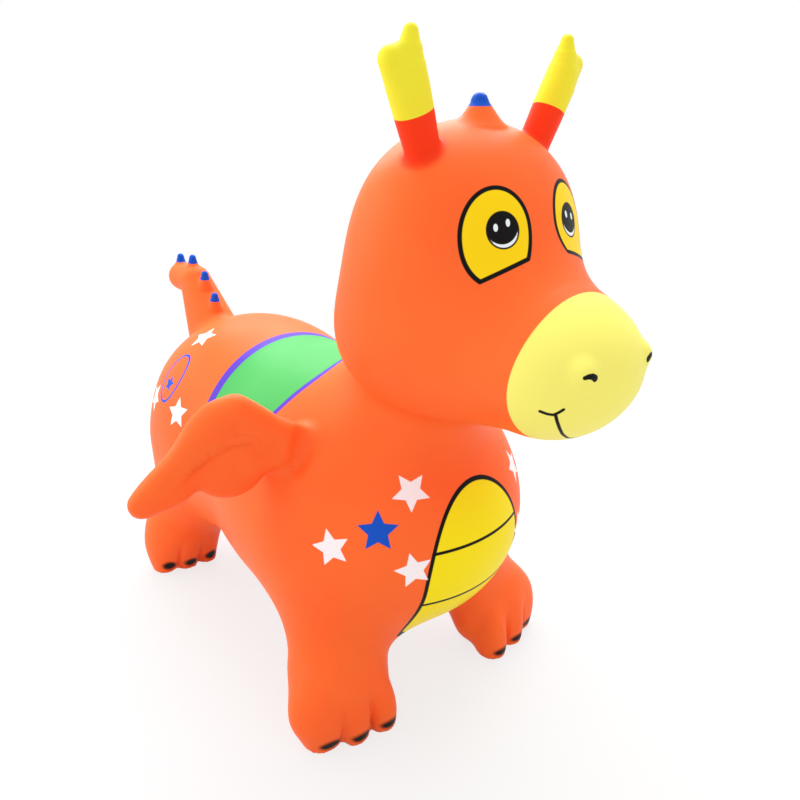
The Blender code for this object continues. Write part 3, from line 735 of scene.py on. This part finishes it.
def saddle_paint(p):
    """Distances to the saddle's purple edging and to its green."""
    x = p[:, 0]
    around = BARREL_RADIUS * np.arctan2(np.abs(p[:, 1]), p[:, 2] - SADDLE_AXIS_HEIGHT)
    bow = (around / SADDLE_BOW_REACH) ** 2
    rear = SADDLE_REAR[0] + SADDLE_REAR[1] * bow
    front = SADDLE_FRONT[0] + SADDLE_FRONT[1] * bow
    lengthwise = np.maximum(rear - x, x - front)
    sideways = around - SADDLE_REACH
    corner = np.hypot(np.maximum(lengthwise + SADDLE_CORNER, 0), np.maximum(sideways + SADDLE_CORNER, 0))
    outline = corner - SADDLE_CORNER + np.minimum(np.maximum(lengthwise, sideways) + SADDLE_CORNER, 0)
    forward = np.clip((x - rear) / (front - rear), 0, 1)
    edge = SADDLE_REAR_EDGE + forward * (SADDLE_FRONT_EDGE - SADDLE_REAR_EDGE)
    return outline, outline + edge


def both_sides(prints):
    """Prints of the right side, followed by their mirror images."""
    return (*prints, *((mirrored(place), -spin) for place, spin in prints))


def printed_stars(p, stars, radius):
    """Distance to the nearest of a set of stars on the skin."""
    nearest = np.full(len(p), 1.0)
    for centre, spin in stars:
        u, v, out = skin_decal(p, centre, spin)
        nearest = np.minimum(nearest, np.maximum(star(u, v, radius), np.abs(out) - radius))
    return nearest


def printed_rings(p):
    """Distance to the plain oval rings on the rump, each with a star in it."""
    nearest = np.full(len(p), 1.0)
    for centre, spin in both_sides(RUMP_RINGS):
        u, v, out = skin_decal(p, centre, spin)
        ring = np.abs(oval(u, v, 0.0, 0.0, *RING_RADII)) - RING_HALF_WIDTH
        ring = np.minimum(ring, star(u, v + RING_STAR_DROP, RING_STAR_RADIUS))
        nearest = np.minimum(nearest, np.maximum(ring, np.abs(out) - max(RING_RADII)))
    return nearest


def spike_caps(p):
    """Distance to the blue ends of the tail's spikes and the crest."""
    off_crest = np.hypot(p[:, 0] - CREST_TIP[0], p[:, 1]) - CREST_RADII[0]
    caps = [np.maximum(CREST_CAP_HEIGHT - p[:, 2], off_crest)]
    for spike in TAIL_SPIKES:
        root, tip = spike_ends(spike)
        short = -plane_distance(p, tip, np.subtract(tip, root)) - SPIKE_CAP_LENGTH
        caps.append(np.maximum(short, spike_field(p, spike) - SPIKE_CAP_SKIN))
    return np.min(caps, axis=0)


def nails(p):
    """Distance to the flat smears of paint on the fronts of the toes."""
    smears = []
    for leg in (FORE_LEG, HIND_LEG):
        for (x, y, _), radii in toe_blobs(leg):
            smears.append(ellipsoid(p, (x + radii[0], y, leg["nail_height"]), leg["nail_radii"]))
    return np.min(smears, axis=0)


def along_horn(p):
    return plane_distance(p, HORN_BASE, np.subtract(HORN_FORK, HORN_BASE))


def paint(points):
    """Signed distance from each point to each paint zone; negative is inside."""
    q = folded(points)
    horn = horn_field(q)
    on_horn = horn - HORN_PAINT_REACH
    eye, eye_fill, pupil, glint = eye_paint(q)
    bib, bib_fill, bands = bib_paint(points)
    saddle, saddle_green = saddle_paint(points)
    mouth = [stroke(q, line, MOUTH_HALF_WIDTH, MOUTH_HALF_WIDTH) for line in (MOUTH_CORNER, MOUTH_LINE)]
    nostril = stroke(q, NOSTRIL_SLIT, *NOSTRIL_HALF_WIDTHS)
    blue = np.minimum(printed_stars(points, BLUE_STARS, BLUE_STAR_RADIUS), printed_rings(points))
    return {
        "horn_spray": horn - 0.5 * HORN_SPRAY_REACH,
        "horn_red": np.maximum(on_horn, HORN_BEND[0] - along_horn(q)),
        "horn_yellow": np.maximum(on_horn, HORN_COLOUR_EDGE - along_horn(q)),
        "muzzle": -plane_distance(points, MUZZLE_EDGE, MUZZLE_EDGE_NORMAL),
        "blue": np.minimum(blue, spike_caps(points)),
        "purple": saddle,
        "green": saddle_green,
        "outline": np.minimum(eye, bib),
        "eye_yellow": eye_fill,
        "bib_yellow": bib_fill,
        "ink": np.min([pupil, bands, *mouth, nostril], axis=0),
        "glint": glint,
        "stars": printed_stars(points, CHEST_STARS + both_sides(RUMP_STARS), STAR_RADIUS),
        "nails": nails(q),
    }


# Paint in the order it goes on, as (zone, colour, fade)
PAINT_LAYERS = (
    ("horn_spray", HORN_RED, 0.5 * HORN_SPRAY_REACH),
    ("horn_red", HORN_RED, HORN_RED_FADE),
    ("horn_yellow", HORN_YELLOW, PRINT_FADE),
    ("muzzle", MUZZLE_YELLOW, MUZZLE_FADE),
    ("purple", SADDLE_PURPLE, PRINT_FADE),
    ("green", SADDLE_GREEN, PRINT_FADE),
    ("blue", SPIKE_BLUE, PRINT_FADE),
    ("outline", INK, PRINT_FADE),
    ("eye_yellow", EYE_YELLOW, PRINT_FADE),
    ("bib_yellow", BIB_YELLOW, PRINT_FADE),
    ("ink", INK, PRINT_FADE),
    ("glint", GLINT_WHITE, GLINT_FADE),
    ("stars", STAR_PALE, PRINT_FADE),
    ("nails", INK, NAIL_FADE),
)


class Nodes:
    """Short ways to add and link a material's nodes."""

    def __init__(self, name):
        self.material = bpy.data.materials.new(name)
        self.material.use_nodes = True
        self.tree = self.material.node_tree
        self.shader = self.tree.nodes["Principled BSDF"]

    def add(self, kind, **settings):
        node = self.tree.nodes.new(kind)
        for key, value in settings.items():
            setattr(node, key, value)
        return node

    def link(self, output, socket):
        self.tree.links.new(output, socket)

    def attribute(self, name, output="Fac"):
        return self.add("ShaderNodeAttribute", attribute_name=name).outputs[output]

    def mask(self, value, start, end):
        """0 to 1 as value goes from start to end."""
        ramp = self.add("ShaderNodeMapRange", interpolation_type="SMOOTHSTEP")
        ramp.inputs["From Min"].default_value = start
        ramp.inputs["From Max"].default_value = end
        self.link(value, ramp.inputs["Value"])
        return ramp.outputs["Result"]

    def mix(self, factor, first, second):
        """Colour that goes from first to second; each is a socket or a colour."""
        mix = self.add("ShaderNodeMix", data_type="RGBA")
        self.link(factor, mix.inputs["Factor"])
        for value, socket in ((first, mix.inputs[6]), (second, mix.inputs[7])):
            if isinstance(value, tuple):
                socket.default_value = (*value, 1.0)
            else:
                self.link(value, socket)
        return mix.outputs[2]

    def blend(self, factor, first, second):
        """Shader that goes from first to second."""
        mix = self.add("ShaderNodeMixShader")
        self.link(factor, mix.inputs["Fac"])
        self.link(first, mix.inputs[1])
        self.link(second, mix.inputs[2])
        return mix.outputs[0]

    def noise(self, coordinates, scale, detail):
        noise = self.add("ShaderNodeTexNoise")
        noise.inputs["Scale"].default_value = scale
        noise.inputs["Detail"].default_value = detail
        self.link(coordinates, noise.inputs["Vector"])
        return noise.outputs["Fac"]

    def bump(self, height, strength, distance):
        bump = self.add("ShaderNodeBump")
        bump.inputs["Strength"].default_value = strength
        bump.inputs["Distance"].default_value = distance
        self.link(height, bump.inputs["Height"])
        self.link(bump.outputs["Normal"], self.shader.inputs["Normal"])


def skin_material():
    """Satin orange PVC under its layers of paint."""
    nodes = Nodes("painted_pvc")
    rest = nodes.attribute("rest", "Vector")
    mottle = nodes.mask(nodes.noise(rest, *PVC_MOTTLE), *PVC_MOTTLE_RANGE)
    colour = nodes.mix(mottle, ORANGE, ORANGE_DEEP)
    for zone, paint_colour, fade in PAINT_LAYERS:
        colour = nodes.mix(nodes.mask(nodes.attribute(zone), fade, -fade), colour, paint_colour)
    nodes.link(colour, nodes.shader.inputs["Base Color"])
    nodes.shader.inputs["Specular IOR Level"].default_value = PVC_SPECULAR
    sheen = nodes.add("ShaderNodeMapRange")
    sheen.inputs["To Min"].default_value, sheen.inputs["To Max"].default_value = PVC_ROUGHNESS
    nodes.link(nodes.noise(rest, *PVC_SHEEN), sheen.inputs["Value"])
    nodes.link(sheen.outputs["Result"], nodes.shader.inputs["Roughness"])
    nodes.bump(nodes.noise(rest, *PVC_GRAIN), *PVC_GRAIN_BUMP)
    return nodes.material


def valve_material():
    """Off-white moulded plastic."""
    nodes = Nodes("valve_plastic")
    nodes.shader.inputs["Roughness"].default_value = VALVE_ROUGHNESS
    place = nodes.add("ShaderNodeTexCoord").outputs["Object"]
    mottle = nodes.mask(nodes.noise(place, *VALVE_MOTTLE), *VALVE_MOTTLE_RANGE)
    grey = tuple(VALVE_SHADE * channel for channel in VALVE_WHITE)
    nodes.link(nodes.mix(mottle, VALVE_WHITE, grey), nodes.shader.inputs["Base Color"])
    nodes.bump(nodes.noise(place, *VALVE_GRAIN), *VALVE_GRAIN_BUMP)
    return nodes.material


def dress_valve():
    """Gives the part's own valve nodes their material."""
    material = valve_material()
    for node in ("valve_seat", "valve_plug"):
        mesh = bpy.data.objects[node].data
        mesh.materials.clear()
        mesh.materials.append(material)


def sided(point, side):
    """A point of the left side, moved to the given side."""
    return tuple(point) if side == "left" else mirrored(point)


def from_side(p, side):
    """Points as they lie when the given side is turned to the left."""
    return p if side == "left" else p * (1, -1, 1)


def beyond_neck(p):
    above = plane_distance(p, NECK_SEAM, NECK_SEAM_NORMAL) - NECK_BEND[0]
    return np.minimum(above, HEAD_HALF_WIDTH - np.abs(p[:, 1]))


def beyond_horn(p, side):
    q = from_side(p, side)
    above = along_horn(q) - HORN_BEND[0] + HORN_SEAM_OVERLAP
    return np.minimum(above, HORN_ZONE_REACH - np.abs(horn_field(q)))


def wing_slope():
    outward, up, _ = wing_axes()
    return WING_SEAM_SLOPE[0] * outward + WING_SEAM_SLOPE[1] * up


def beyond_wing(p, side):
    q = from_side(p, side)
    out = plane_distance(q, wing_point(*WING_SEAM), wing_slope()) - WING_BEND[0]
    return np.minimum(out, trunk_field(q) - wing_field(q))


def beyond_tail(p):
    out = plane_distance(p, TAIL_SEAM, TAIL_RISE) - TAIL_BEND[0]
    return np.minimum(out, TAIL_ZONE_REACH - tail_field(p))


def zone_of(centres):
    """The name of the zone that each face belongs to."""
    zone = np.full(len(centres), "hide", dtype="<U12")
    for side in ("left", "right"):
        zone[beyond_wing(centres, side) > 0] = f"wing_{side}"
    zone[beyond_neck(centres) > 0] = "head"
    for side in ("left", "right"):
        zone[beyond_horn(centres, side) > 0] = f"horn_{side}"
    zone[beyond_tail(centres) > 0] = "tail"
    return zone


def open_edges(triangles):
    """Directed edges that only one triangle has."""
    edges = np.concatenate([triangles[:, [0, 1]], triangles[:, [1, 2]], triangles[:, [2, 0]]])
    present = set(map(tuple, edges.tolist()))
    return np.array([(a, b) for a, b in edges.tolist() if (b, a) not in present])


def rims(edges):
    """Open edges in closed loops, one for each opening."""
    following = {}
    for start, end in edges.tolist():
        following.setdefault(start, []).append(end)
    while following:
        here = next(iter(following))
        loop = []
        while here in following:
            end = following[here].pop()
            if not following[here]:
                del following[here]
            loop.append((here, end))
            here = end
        yield np.array(loop)


def closed(points, triangles):
    """The zone with a shallow cap over each opening, sunk a little into the zone."""
    body = points.mean(axis=0)
    extra, caps = [], []
    for rim in rims(open_edges(triangles)):
        middle = points[rim[:, 0]].mean(axis=0)
        inward = (body - middle) / np.linalg.norm(body - middle)
        hub = len(points) + len(extra)
        extra.append(middle + CAP_SINK * inward)
        caps += [(b, a, hub) for a, b in rim.tolist()]
    return np.concatenate([points, extra]), np.concatenate([triangles, caps])


def skin_piece(name, points, triangles, normals, values, material):
    """One zone of the skin as an object with its paint distances."""
    used, triangles = np.unique(triangles, return_inverse=True)
    triangles = triangles.reshape(-1, 3)
    own_points, own_triangles = closed(points[used], triangles)
    mesh = bpy.data.meshes.new(name)
    mesh.from_pydata((own_points + STAND_SHIFT).tolist(), [], own_triangles.tolist())
    mesh.shade_smooth()
    hubs = len(own_points) - len(used)
    for zone, distances in values.items():
        padded = np.append(distances[used], np.ones(hubs)).astype(np.float32)
        mesh.attributes.new(zone, "FLOAT", "POINT").data.foreach_set("value", padded)
    rest = mesh.attributes.new("rest", "FLOAT_VECTOR", "POINT")
    rest.data.foreach_set("vector", own_points.astype(np.float32).ravel())
    own_normals = np.concatenate([normals[used], np.tile((0.0, 0.0, 1.0), (hubs, 1))])
    mesh.normals_split_custom_set_from_vertices(own_normals.tolist())
    mesh.materials.append(material)
    obj = bpy.data.objects.new(name, mesh)
    bpy.context.scene.collection.objects.link(obj)
    return obj


def bend(obj, place, direction, reach):
    """Bakes the zone's transform into its mesh; the two ends of its bend are worked out from place,
    direction and reach, but nothing uses them.
    """
    direction = np.asarray(direction, float) / np.linalg.norm(direction)
    start, end = (np.asarray(place) + STAND_SHIFT + offset * direction for offset in reach)
    tuple(start)
    tuple(end)
    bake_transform(obj)


def make_skin():
    """The skin's zones by name, as objects."""
    points, triangles = sculpted_skin()
    normals = skin_normals(points)
    zone = zone_of(points[triangles].mean(axis=1))
    material = skin_material()
    values = paint(points)
    pieces = {}
    for name in np.unique(zone):
        pieces[name] = skin_piece(name, points, triangles[zone == name], normals, values, material)
    return pieces


def attach_skin(pieces):
    """Each zone stands in for its nodes of the part, which are hidden, and has its transform baked into
    its mesh.
    """
    hide, head, tail = pieces["hide"], pieces["head"], pieces["tail"]
    bend(hide, (0, 0, 0), (0, 0, 1), (SQUASH_START, SQUASH_END))
    corners = [f"{end}_{side}" for end in ("fore", "hind") for side in ("left", "right")]
    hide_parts("body_shell", *(f"{corner}_{part}" for corner in corners for part in ("leg", "foot")))
    bend(head, NECK_SEAM, NECK_SEAM_NORMAL, NECK_BEND)
    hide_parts("head_shell", "neck_ring", "muzzle", "crest_spike")
    bend(tail, TAIL_SEAM, TAIL_RISE, TAIL_BEND)
    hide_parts("tail", "tail_ring", *(f"tail_spike_{i + 1}" for i in range(len(TAIL_SPIKES))))
    for side in ("left", "right"):
        horn, wing = pieces[f"horn_{side}"], pieces[f"wing_{side}"]
        axis = sided(np.subtract(HORN_FORK, HORN_BASE), side)
        bend(horn, sided(HORN_BASE, side), axis, HORN_BEND)
        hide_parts(f"horn_{side}_root", f"horn_{side}_tip")
        seam, slope = sided(wing_point(*WING_SEAM), side), sided(wing_slope(), side)
        bend(wing, seam, slope, WING_BEND)
        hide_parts(f"wing_{side}", f"wing_{side}_root")


def seen_directly(tree):
    """1 for rays straight from the camera, a shiny face or a clear one, and 0 for all other rays."""
    path = tree.nodes.new("ShaderNodeLightPath")
    seen = path.outputs["Is Camera Ray"]
    for kind in ("Is Glossy Ray", "Is Transmission Ray"):
        either = tree.nodes.new("ShaderNodeMath")
        either.operation = "MAXIMUM"
        tree.links.new(seen, either.inputs[0])
        tree.links.new(path.outputs[kind], either.inputs[1])
        seen = either.outputs[0]
    return seen


def make_world():
    """Even white light from all around, and plain white behind the dragon."""
    world = bpy.data.worlds.new("studio")
    bpy.context.scene.world = world
    world.use_nodes = True
    tree = world.node_tree
    light = tree.nodes["Background"]
    light.inputs["Color"].default_value = WHITE
    light.inputs["Strength"].default_value = WORLD_LIGHT
    white = tree.nodes.new("ShaderNodeBackground")
    white.inputs["Color"].default_value = WHITE
    mix = tree.nodes.new("ShaderNodeMixShader")
    tree.links.new(seen_directly(tree), mix.inputs["Fac"])
    tree.links.new(light.outputs[0], mix.inputs[1])
    tree.links.new(white.outputs[0], mix.inputs[2])
    tree.links.new(mix.outputs[0], tree.nodes["World Output"].inputs["Surface"])


def make_floor():
    """A pale floor that fades into the white around it."""
    bm = bmesh.new()
    bmesh.ops.create_circle(bm, cap_ends=True, segments=FLOOR_CORNERS, radius=FLOOR_RADIUS)
    mesh = bpy.data.meshes.new("floor")
    bm.to_mesh(mesh)
    bm.free()
    floor = bpy.data.objects.new("floor", mesh)
    bpy.context.scene.collection.objects.link(floor)
    nodes = Nodes("pale_floor")
    nodes.shader.inputs["Base Color"].default_value = (FLOOR_GREY, FLOOR_GREY, FLOOR_GREY, 1.0)
    nodes.shader.inputs["Roughness"].default_value = FLOOR_ROUGHNESS
    distance = nodes.add("ShaderNodeVectorMath", operation="LENGTH")
    nodes.link(nodes.add("ShaderNodeTexCoord").outputs["Object"], distance.inputs[0])
    share = nodes.add("ShaderNodeMath", operation="MULTIPLY")
    share.inputs[1].default_value = FLOOR_WHITENING
    nodes.link(seen_directly(nodes.tree), share.inputs[0])
    white = nodes.add("ShaderNodeEmission")
    pale = nodes.blend(share.outputs[0], nodes.shader.outputs[0], white.outputs[0])
    clear = nodes.add("ShaderNodeBsdfTransparent")
    fade = nodes.mask(distance.outputs["Value"], *FLOOR_FADE)
    surface = nodes.blend(fade, pale, clear.outputs[0])
    nodes.link(surface, nodes.tree.nodes["Material Output"].inputs["Surface"])
    mesh.materials.append(nodes.material)


def make_lamp(name, place, target, size, power):
    lamp = bpy.data.lights.new(name, "AREA")
    lamp.size = size
    lamp.energy = power
    obj = bpy.data.objects.new(name, lamp)
    bpy.context.scene.collection.objects.link(obj)
    obj.location = place
    obj.rotation_euler = (Vector(target) - Vector(place)).to_track_quat("-Z", "Y").to_euler()


def make_camera():
    camera = bpy.data.cameras.new("camera")
    camera.sensor_width = CAMERA_SENSOR_MM
    camera.lens = CAMERA_LENS_MM
    camera.clip_start = CAMERA_CLIP_START
    obj = bpy.data.objects.new("camera", camera)
    bpy.context.scene.collection.objects.link(obj)
    obj.location = np.array(CAMERA_PLACE) + STAND_SHIFT
    obj.rotation_euler = (math.radians(90 - CAMERA_TILT_DOWN), 0.0, math.radians(CAMERA_HEADING))
    bpy.context.scene.camera = obj


def main():
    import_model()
    bpy.context.scene.view_settings.view_transform = "Standard"
    make_camera()
    make_world()
    make_floor()
    for lamp in LAMPS:
        make_lamp(*lamp)
    attach_skin(make_skin())
    dress_valve()


main()
